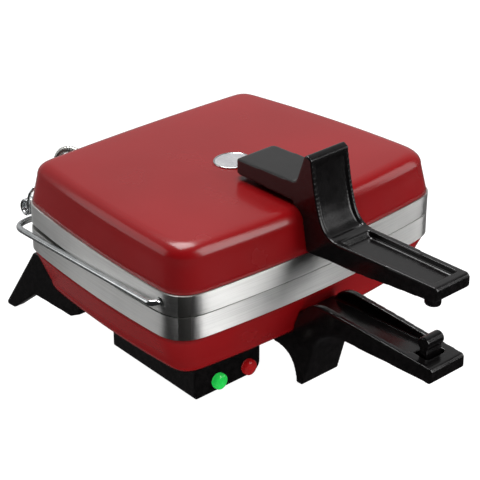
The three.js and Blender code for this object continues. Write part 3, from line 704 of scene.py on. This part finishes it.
def control_box():
    top = BASE_BOTTOM - GAP
    body = box_solid("control_box_moulding", 0, top)
    hollow = box_solid("hollow", BOX_WALL, top + 5)
    holes = [bar("hole", (x, BOX_FRONT - 2, LAMP_Z), (x, BOX_FRONT + 5, LAMP_Z), LAMP_RADIUS - 0.7)
             for x in LAMP_X.values()]
    inlet = block("inlet", (INLET_X - 14.3, INLET_X + 14.3), (BOX_REAR - 5, BOX_REAR + 2), (-76.3, -57.7))
    cut(body, hollow, *holes, inlet)
    return moulded(body, voxel=0.7)


def lamp_lens(colour):
    """A cap with a domed face, a rounded rim and a stem that goes into the box."""
    stem = LAMP_RADIUS - 1
    dome = [(LAMP_RADIUS * math.cos(t), LAMP_OUT - LAMP_DOME + LAMP_DOME * math.sin(t) ** 0.8)
            for t in np.linspace(0, math.pi / 2, 10)[1:-1]]
    profile = [(0, -4), (stem, -4), (stem, GAP), (LAMP_RADIUS - 0.4, GAP), (LAMP_RADIUS, GAP + 0.4),
               (LAMP_RADIUS, LAMP_OUT - LAMP_DOME), *dome, (0, LAMP_OUT)]
    return smooth_by_angle(turned(f"{colour}_lamp_cap", profile, (LAMP_X[colour], BOX_FRONT, LAMP_Z),
                                  (0, -1, 0), sides=48))


# ---- badge -------------------------------------------------------------------------------------------

def oval_rings(name, rows, closed):
    """Level ovals stacked up, each (set in, height). A closed stack is a ring, an open one a capped plate."""
    sides, count = BADGE_SIDES, len(rows)
    points, faces = [], []
    for inset, height in rows:
        for i in range(sides):
            turn = 2 * math.pi * i / sides
            points.append((BADGE_CENTRE[0] + (BADGE_HALF[0] - inset) * math.cos(turn),
                           BADGE_CENTRE[1] + (BADGE_HALF[1] - inset) * math.sin(turn), height))
    for low in range(count if closed else count - 1):
        high = (low + 1) % count
        for i in range(sides):
            j = (i + 1) % sides
            faces.append([low * sides + i, low * sides + j, high * sides + j, high * sides + i])
    if not closed:
        faces += [list(range(sides))[::-1], list(range((count - 1) * sides, count * sides))]
    return smooth_by_angle(tilted(mesh_object(name, points, faces)))


def badge_plate():
    seat = LID_TOP + LID_CROWN + GAP
    face = [(1.3 + 0.6 * i, seat + 0.5 + 0.25 * math.sin(i / 8 * math.pi / 2)) for i in range(9)]
    return oval_rings("badge_plate", [(1.3, seat), *face], closed=False)


def badge_rim():
    seat = LID_TOP + LID_CROWN + GAP
    edge = [(0.5 - 0.5 * math.cos(t), seat + 0.4 + 0.4 * math.sin(t)) for t in np.linspace(0, math.pi / 2, 5)]
    rows = [(0, seat), *edge, (0.9, seat + 0.8), (1.25, seat + 0.55), (1.25, seat)]
    return oval_rings("badge_rim", rows, closed=True)


# ---- hinge, bail, springs and lead -------------------------------------------------------------------

def rounded_path(corners, radii):
    """The corners joined up, with each inner corner rounded off."""
    path = [Vector(corners[0])]
    for (a, b, c), radius in zip(zip(corners, corners[1:], corners[2:]), radii):
        a, b, c = Vector(a), Vector(b), Vector(c)
        start = b + (a - b).normalized() * radius
        end = b + (c - b).normalized() * radius
        for i in range(CURVE_STEPS + 1):
            t = i / CURVE_STEPS
            path.append(start.lerp(b, t).lerp(b.lerp(end, t), t))
    path.append(Vector(corners[-1]))
    return path


def evenly_along(path, spacing):
    """Points spaced along straight stretches, keeping every given point."""
    points = [path[0]]
    for a, b in zip(path, path[1:]):
        pieces = max(1, math.ceil((b - a).length / spacing))
        points.extend(a.lerp(b, k / pieces) for k in range(1, pieces + 1))
    return points


def hinge_bail():
    y, z = BAIL_FRONT
    corners = [(-BAIL_END_X, y, z), (-BAIL_OUTER_X, y, z), (-BAIL_REAR_X, ROD_Y, ROD_Z), (0, ROD_Y, ROD_Z)]
    left = rounded_path(corners, (6, 14))
    right = [Vector((-p.x, p.y, p.z)) for p in left[::-1]][1:]
    return tube("hinge_bail_wire", evenly_along(left + right, 6), ROD_RADIUS, sides=20)


def knuckle(name, x0, x1):
    length = abs(x1 - x0)
    neck = KNUCKLE_RADIUS - KNUCKLE_BEAD
    profile = [(0, 0), (neck, 0), (KNUCKLE_RADIUS, KNUCKLE_BEAD), (KNUCKLE_RADIUS, length - KNUCKLE_BEAD),
               (neck, length), (0, length)]
    return turned(name, profile, (min(x0, x1), ROD_Y, ROD_Z), (1, 0, 0))


def rod_bore(x0, x1):
    return bar("bore", (x0, ROD_Y, ROD_Z), (x1, ROD_Y, ROD_Z), ROD_RADIUS + GAP + 0.05)


def hinge_leaf(name, shape, x0, x1, upper):
    leaf = side_prism(name, shape, x0, x1)
    joined(leaf, knuckle("knuckle", x0, x1))
    room = envelope(upper)
    if upper:
        tilted(room)
    return moulded(cut(leaf, room, rod_bore(min(x0, x1) - 1, max(x0, x1) + 1)), voxel=0.5, rounds=3)


def base_hinge_bracket(side):
    shape = [(112, -4), (110, -9), (101, -40), (84, -40), (84, -12), (103.7, -4)]
    name = f"base_hinge_bracket_{side_name(side)}_leaf"
    return hinge_leaf(name, shape, side * BRACKET_X[0], side * BRACKET_X[1], False)


def lid_hinge_lug(side):
    shape = [(112, -2), (109, 3), (101, 15), (88, 15), (88, 3.5), (101, 3.5), (104, -3)]
    name = f"lid_hinge_lug_{side_name(side)}_leaf"
    return hinge_leaf(name, shape, side * LUG_X[0], side * LUG_X[1], True)


def hinge_spring(side):
    """A coil above the rod, with a leg up against the lid's rear wall and a short leg down beside the rod."""
    turns, pitch, per_turn = 3, 2.8, 20
    middle, y, z = SPRING_CENTRE
    upper_leg = ((3.5, 98.4, 26.6), (5.6, 101.2, 21.5), (5.5, 103.5, 15))
    route = [(middle + out, *rest) for out, *rest in upper_leg]
    for i in range(turns * per_turn + 1):
        turn = math.pi + i / per_turn * 2 * math.pi
        route.append((middle + pitch * (turns / 2 - i / per_turn),
                      y + SPRING_RADIUS * math.cos(turn), z + SPRING_RADIUS * math.sin(turn)))
    route.append((middle - 4.4, 104.1, 2))
    mirrored = [(side * x, *rest) for x, *rest in route]
    return tube(f"hinge_spring_{side_name(side)}_wire", smooth_route(mirrored, 0.9), SPRING_WIRE, sides=10)


def sheathed_lead():
    """A flexible metal-sheathed lead: a smooth route with the sheath's closely wound turns."""
    route = [
        (-40, 90, -34), (-42, 104, -33.5), (-48, 121, -25), (-53, 130, -6), (-55.5, 132, 12),
        (-54.5, 131, 24), (-52.5, 128.5, 31), (-49.5, 124, 34.3), (-47, 117, 34.5), (-46, 109, 32),
        (-46, 98, 29.6)]

    def size(distance):
        return LEAD_RADIUS - LEAD_GROOVE * abs(math.cos(math.pi * distance / LEAD_WINDING)) ** 3
    return tube("sheathed_lead_flexible", smooth_route(route, LEAD_WINDING / 8), size, sides=20)


# ---- materials ---------------------------------------------------------------------------------------

class Shader:
    """A short way to write a node material."""

    def __init__(self, name, colour, roughness, metallic=0.0):
        self.material = bpy.data.materials.new(name)
        self.material.use_nodes = True
        self.nodes = self.material.node_tree.nodes
        self.links = self.material.node_tree.links
        self.surface = self.nodes["Principled BSDF"]
        self.set("Base Color", (*colour, 1))
        self.set("Roughness", roughness)
        self.set("Metallic", metallic)
        self.place = self.nodes.new("ShaderNodeTexCoord").outputs["Object"]

    def set(self, socket, value):
        self.surface.inputs[socket].default_value = value
        return self

    def stretched(self, scale):
        mapping = self.nodes.new("ShaderNodeMapping")
        mapping.inputs["Scale"].default_value = scale
        self.links.new(self.place, mapping.inputs["Vector"])
        return mapping.outputs["Vector"]

    def noise(self, scale, detail=3.0, stretch=None):
        texture = self.nodes.new("ShaderNodeTexNoise")
        texture.inputs["Scale"].default_value = scale
        texture.inputs["Detail"].default_value = detail
        self.links.new(self.stretched(stretch) if stretch else self.place, texture.inputs["Vector"])
        return texture.outputs["Fac"]

    def ramp(self, factor, stops):
        node = self.nodes.new("ShaderNodeValToRGB")
        elements = node.color_ramp.elements
        while len(elements) < len(stops):
            elements.new(0.5)
        for element, (position, colour) in zip(elements, stops):
            element.position = position
            element.color = (*colour, 1)
        self.links.new(factor, node.inputs["Fac"])
        return node.outputs["Color"]

    def colour(self, factor, stops):
        self.links.new(self.ramp(factor, stops), self.surface.inputs["Base Color"])
        return self

    def roughness(self, factor, low, high, span=(0.3, 0.7)):
        node = self.nodes.new("ShaderNodeMapRange")
        node.inputs["From Min"].default_value = span[0]
        node.inputs["From Max"].default_value = span[1]
        node.inputs["To Min"].default_value = low
        node.inputs["To Max"].default_value = high
        self.links.new(factor, node.inputs["Value"])
        self.links.new(node.outputs["Result"], self.surface.inputs["Roughness"])
        return self

    def bump(self, *layers):
        """Each layer is (height, strength, distance in metres)."""
        last = None
        for height, strength, distance in layers:
            node = self.nodes.new("ShaderNodeBump")
            node.inputs["Strength"].default_value = strength
            node.inputs["Distance"].default_value = distance
            self.links.new(height, node.inputs["Height"])
            if last:
                self.links.new(last, node.inputs["Normal"])
            last = node.outputs["Normal"]
        self.links.new(last, self.surface.inputs["Normal"])
        return self


def enamel():
    """Glossy red stove enamel with a faint orange-peel surface."""
    m = Shader("red_enamel", (0.27, 0.004, 0.006), 0.24)
    m.colour(m.noise(9, 2), [(0.35, (0.255, 0.0035, 0.005)), (0.65, (0.29, 0.0045, 0.007))])
    m.roughness(m.noise(30, 3), 0.2, 0.28)
    m.bump((m.noise(420, 2), 0.05, 0.0004), (m.noise(1500, 1), 0.03, 0.0001))
    m.set("Specular IOR Level", 0.4).set("Coat Weight", 0.25).set("Coat Roughness", 0.1)
    return m.material


def brushed_rim():
    """The machined rim of the castings, brushed lengthwise."""
    m = Shader("brushed_aluminium", (0.78, 0.77, 0.74), 0.34, 1.0)
    lines = m.noise(60, 6, stretch=(0.35, 0.35, 26))
    smudge = m.noise(16, 3)
    mix = m.nodes.new("ShaderNodeMix")
    mix.data_type = "FLOAT"
    mix.inputs[0].default_value = 0.45
    m.links.new(lines, mix.inputs[2])
    m.links.new(smudge, mix.inputs[3])
    m.colour(mix.outputs[0], [(0.3, (0.72, 0.715, 0.70)), (0.5, (0.88, 0.875, 0.86)),
                              (0.7, (0.96, 0.955, 0.94))])
    m.roughness(lines, 0.44, 0.58)
    m.bump((lines, 0.35, 0.0003), (m.noise(240, 4, stretch=(0.5, 0.5, 14)), 0.2, 0.0001))
    tangent = m.nodes.new("ShaderNodeTangent")
    tangent.direction_type = "RADIAL"
    tangent.axis = "Z"
    m.links.new(tangent.outputs["Tangent"], m.surface.inputs["Tangent"])
    m.set("Anisotropic", 1.0).set("Anisotropic Rotation", 0.25)
    return m.material


def cast_face():
    """The cast mould faces: dull, slightly pebbled aluminium, darkened a little by use."""
    m = Shader("cast_aluminium_face", (0.55, 0.545, 0.53), 0.45, 1.0)
    m.colour(m.noise(22, 5), [(0.3, (0.42, 0.41, 0.39)), (0.7, (0.62, 0.615, 0.60))])
    m.roughness(m.noise(45, 4), 0.38, 0.55)
    m.bump((m.noise(900, 3), 0.18, 0.0003), (m.noise(60, 3), 0.1, 0.0005))
    return m.material


def phenolic():
    """Black phenolic moulding with faint grey filler and satin patches where it is handled."""
    shine = 0.2
    m = Shader("black_phenolic", (0.004, 0.0035, 0.0037), shine)
    m.colour(m.noise(260, 4), [(0.35, (0.002, 0.0017, 0.0018)), (0.72, (0.0065, 0.0055, 0.0058))])
    m.roughness(m.noise(38, 4), shine - 0.05, shine + 0.07)
    m.bump((m.noise(1100, 2), 0.06, 0.0002), (m.noise(55, 2), 0.06, 0.0008))
    m.set("Coat Weight", 0.15).set("Coat Roughness", 0.1)
    return m.material


def chrome():
    """Bright plated wire with faint drawing lines."""
    m = Shader("bright_plating", (0.80, 0.83, 0.84), 0.12, 1.0)
    m.colour(m.noise(120, 4), [(0.3, (0.66, 0.69, 0.70)), (0.7, (0.86, 0.88, 0.89))])
    m.roughness(m.noise(90, 4), 0.08, 0.2)
    m.bump((m.noise(700, 3), 0.08, 0.0001))
    return m.material


def steel():
    """Plain rolled steel strip."""
    m = Shader("rolled_steel", (0.5, 0.5, 0.5), 0.38, 1.0)
    m.colour(m.noise(45, 5, stretch=(1, 6, 1)), [(0.3, (0.36, 0.36, 0.355)), (0.7, (0.56, 0.56, 0.55))])
    m.roughness(m.noise(70, 4), 0.3, 0.46)
    m.bump((m.noise(600, 3), 0.1, 0.0002))
    return m.material


def element_sheath():
    """Heating element tube, tinted by heat."""
    m = Shader("heat_tinted_steel", (0.2, 0.17, 0.15), 0.5, 1.0)
    m.colour(m.noise(30, 4), [(0.3, (0.10, 0.085, 0.085)), (0.55, (0.24, 0.18, 0.13)),
                              (0.75, (0.2, 0.2, 0.23))])
    m.roughness(m.noise(80, 3), 0.4, 0.6)
    m.bump((m.noise(1200, 2), 0.15, 0.0002))
    return m.material


def ceramic():
    m = Shader("glazed_ceramic", (0.75, 0.72, 0.63), 0.5)
    m.colour(m.noise(300, 4), [(0.35, (0.62, 0.58, 0.50)), (0.6, (0.78, 0.75, 0.67))])
    m.roughness(m.noise(60, 3), 0.4, 0.62)
    m.bump((m.noise(900, 3), 0.12, 0.0002))
    return m.material


def badge_white():
    m = Shader("badge_white", (0.42, 0.42, 0.43), 0.25)
    m.colour(m.noise(140, 3), [(0.3, (0.4, 0.4, 0.42)), (0.7, (0.5, 0.5, 0.51))])
    m.roughness(m.noise(120, 3), 0.2, 0.34)
    m.bump((m.noise(900, 2), 0.05, 0.0001))
    m.set("Coat Weight", 0.5)
    return m.material


def lens(name, deep, bright, glow):
    """Clear coloured plastic over a frosted core."""
    m = Shader(name, bright, 0.2)
    m.colour(m.noise(160, 3), [(0.3, deep), (0.65, bright)])
    m.roughness(m.noise(200, 2), 0.14, 0.28)
    m.bump((m.noise(420, 2), 0.1, 0.0003))
    m.set("Transmission Weight", 0.25).set("Coat Weight", 0.6).set("Emission Strength", glow)
    m.set("Emission Color", (*bright, 1))
    return m.material


def sheath():
    """Flexible wound sheath of dull plated strip."""
    m = Shader("flexible_sheath", (0.62, 0.62, 0.58), 0.32, 1.0)
    m.colour(m.noise(150, 4), [(0.3, (0.42, 0.43, 0.40)), (0.7, (0.72, 0.71, 0.67))])
    m.roughness(m.noise(90, 3), 0.26, 0.42)
    m.bump((m.noise(900, 3), 0.1, 0.0002))
    return m.material


# ---- assembly ----------------------------------------------------------------------------------------

MATERIALS = {
    "enamel": enamel(), "rim": brushed_rim(), "face": cast_face(), "phenolic": phenolic(),
    "chrome": chrome(), "steel": steel(), "element": element_sheath(), "ceramic": ceramic(),
    "badge": badge_white(), "sheath": sheath(),
    "green": lens("green_lens", (0.004, 0.28, 0.03), (0.02, 0.62, 0.09), 0.5),
    "red": lens("red_lens", (0.25, 0.004, 0.006), (0.52, 0.010, 0.012), 0.2),
}


def finish(piece, body, slot, material, *nodes):
    """Gives a piece its material and body, and hides the nodes it stands for. The slot argument is not used.
    """
    piece.data.materials.clear()
    piece.data.materials.append(MATERIALS[material])
    if body:
        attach(piece, body)
    if nodes:
        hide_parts(*nodes)
    return piece


def finish_casting(piece, body, node):
    """The outer rim is brushed and everything inside it is as cast."""
    finish(piece, body, "cast_aluminium", "rim", node)
    piece.data.materials.append(MATERIALS["face"])
    for face in piece.data.polygons:
        centre = (face.center - DATUM) / MM
        inside = abs(centre.x) < (HALF_WIDTH - 9) * width_factor(centre.y) and abs(centre.y) < HALF_DEPTH - 9
        face.material_index = 1 if inside or abs(face.normal.z) > 0.8 else 0


def build_lid():
    finish(lid_shell(), "lid", "enamel", "enamel", "lid_shell")
    finish_casting(upper_cast_plate(), "lid", "upper_cast_plate")
    finish(upper_handle(), "lid", "phenolic", "phenolic", "upper_handle")
    finish(badge_plate(), "lid", "badge", "badge", "lid_badge")
    finish(badge_rim(), "lid", "chrome", "chrome")
    finish(hinge_bail(), "lid", "chrome", "chrome", "hinge_bail")
    for side in (-1, 1):
        name = side_name(side)
        finish(lid_hinge_lug(side), "lid", "steel", "steel", f"lid_hinge_lug_{name}")
        finish(hinge_spring(side), "lid", "chrome", "chrome", f"hinge_spring_{name}")


def build_base():
    finish(base_shell(), "base", "enamel", "enamel", "base_shell")
    finish_casting(lower_cast_plate(), "base", "lower_cast_plate")
    finish(lower_handle(), "base", "phenolic", "phenolic", "lower_handle")
    finish(control_box(), "base", "phenolic", "phenolic", "control_box")
    for side in (-1, 1):
        name = side_name(side)
        finish(rear_foot(side), "base", "phenolic", "phenolic", f"rear_foot_{name}")
        finish(base_hinge_bracket(side), "base", "steel", "steel", f"base_hinge_bracket_{name}")
    for colour in LAMP_X:
        lamp = finish(lamp_lens(colour), "base", f"{colour}_lens", colour, f"{colour}_lamp_lens")
        # A lit cap is not bright enough to tint the pieces around it.
        lamp.visible_diffuse = False
        lamp.visible_glossy = False


def build_moving():
    finish(catch_lever(), "catch", "phenolic", "phenolic", "catch_lever")
    lead = finish(sheathed_lead(), None, "sheath", "sheath", "sheathed_lead")
    to_frame((-54, 130, -6))
    to_frame((-49, 122, 34))
    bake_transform(lead)


def dress_frame_nodes():
    """The pieces kept as they are modelled get their finishes."""
    by_slot = {"enamel": "enamel", "cast_aluminium": "face", "phenolic": "phenolic", "chrome": "chrome",
               "steel": "steel", "ceramic": "ceramic", "badge": "badge", "green_lens": "green",
               "red_lens": "red", "sheath": "sheath"}
    slots = {row["node"]: row["material_slot"] for row in frame["record"]["subparts"]}
    for name, piece in frame["nodes"].items():
        heated = "element" in name and "clamp" not in name
        material = "element" if heated else by_slot[slots.get(name, "steel")]
        for slot in piece.material_slots:
            slot.material = MATERIALS[material]


# ---- studio ------------------------------------------------------------------------------------------

def look_at(piece, target):
    piece.rotation_euler = (Vector(target) - piece.location).to_track_quat("-Z", "Y").to_euler()


def camera():
    azimuth, elevation = math.radians(CAMERA_AZIMUTH), math.radians(CAMERA_ELEVATION)
    aim = Vector(CAMERA_AIM)
    lens_data = bpy.data.cameras.new("camera")
    lens_data.lens = CAMERA_LENS
    lens_data.sensor_width = 36
    view = bpy.data.objects.new("camera", lens_data)
    bpy.context.scene.collection.objects.link(view)
    back = Vector((math.sin(azimuth) * math.cos(elevation), -math.cos(azimuth) * math.cos(elevation),
                   math.sin(elevation)))
    view.location = aim + back * CAMERA_DISTANCE
    look_at(view, aim)
    bpy.context.scene.camera = view


def floor():
    half = FLOOR_HALF
    corners = [(-half, -half, 0), (half, -half, 0), (half, half, 0), (-half, half, 0)]
    mesh = bpy.data.meshes.new("floor")
    mesh.from_pydata(corners, [], [(0, 1, 2, 3)])
    piece = bpy.data.objects.new("floor", mesh)
    bpy.context.scene.collection.objects.link(piece)
    m = Shader("pale_floor", (0.2, 0.2, 0.2), 0.9)
    m.set("Specular IOR Level", 0.0).set("Emission Color", (1, 1, 1, 1)).set("Emission Strength", 1.0)
    mesh.materials.append(m.material)
    piece.visible_glossy = False


def softbox(name, location, size, power, diffuse=True):
    """A rectangular light. One that is not diffuse shows only as a reflection in glossy surfaces."""
    data = bpy.data.lights.new(name, "AREA")
    data.shape = "RECTANGLE"
    data.size, data.size_y = size
    data.energy = power
    light = bpy.data.objects.new(name, data)
    bpy.context.scene.collection.objects.link(light)
    light.location = location
    light.visible_diffuse = diffuse
    look_at(light, LIGHT_AIM)


def sky():
    """A dome that is bright towards the rear right and dim in front and below."""
    world = bpy.data.worlds.new("studio")
    bpy.context.scene.world = world
    world.use_nodes = True
    nodes, links = world.node_tree.nodes, world.node_tree.links
    place = nodes.new("ShaderNodeTexCoord")
    towards = nodes.new("ShaderNodeVectorMath")
    towards.operation = "DOT_PRODUCT"
    towards.inputs[1].default_value = Vector((0.42, 0.75, 0.5)).normalized()
    ramp = nodes.new("ShaderNodeValToRGB")
    elements = ramp.color_ramp.elements
    elements.new(0.5)
    for element, (position, level) in zip(elements, ((0.0, 0.02), (0.45, 0.12), (0.85, 0.42))):
        element.position = position
        element.color = (level, level, level, 1)
    links.new(place.outputs["Generated"], towards.inputs[0])
    links.new(towards.outputs["Value"], ramp.inputs["Fac"])
    links.new(ramp.outputs["Color"], nodes["Background"].inputs["Color"])


def studio():
    floor()
    sky()
    softbox("key", (0.62, -1.3, 0.85), (0.7, 1.4), 13)
    softbox("top", (0.1, 0.4, 1.9), (1.2, 1.2), 38)
    softbox("left_strip", (-1.15, 1.15, 0.5), (0.9, 1.1), 3, diffuse=False)
    softbox("right_strip", (1.4, -0.85, 0.5), (0.5, 1.1), 3.5, diffuse=False)
    bpy.context.scene.view_settings.view_transform = "Standard"


camera()
studio()
build_lid()
build_base()
build_moving()
dress_frame_nodes()
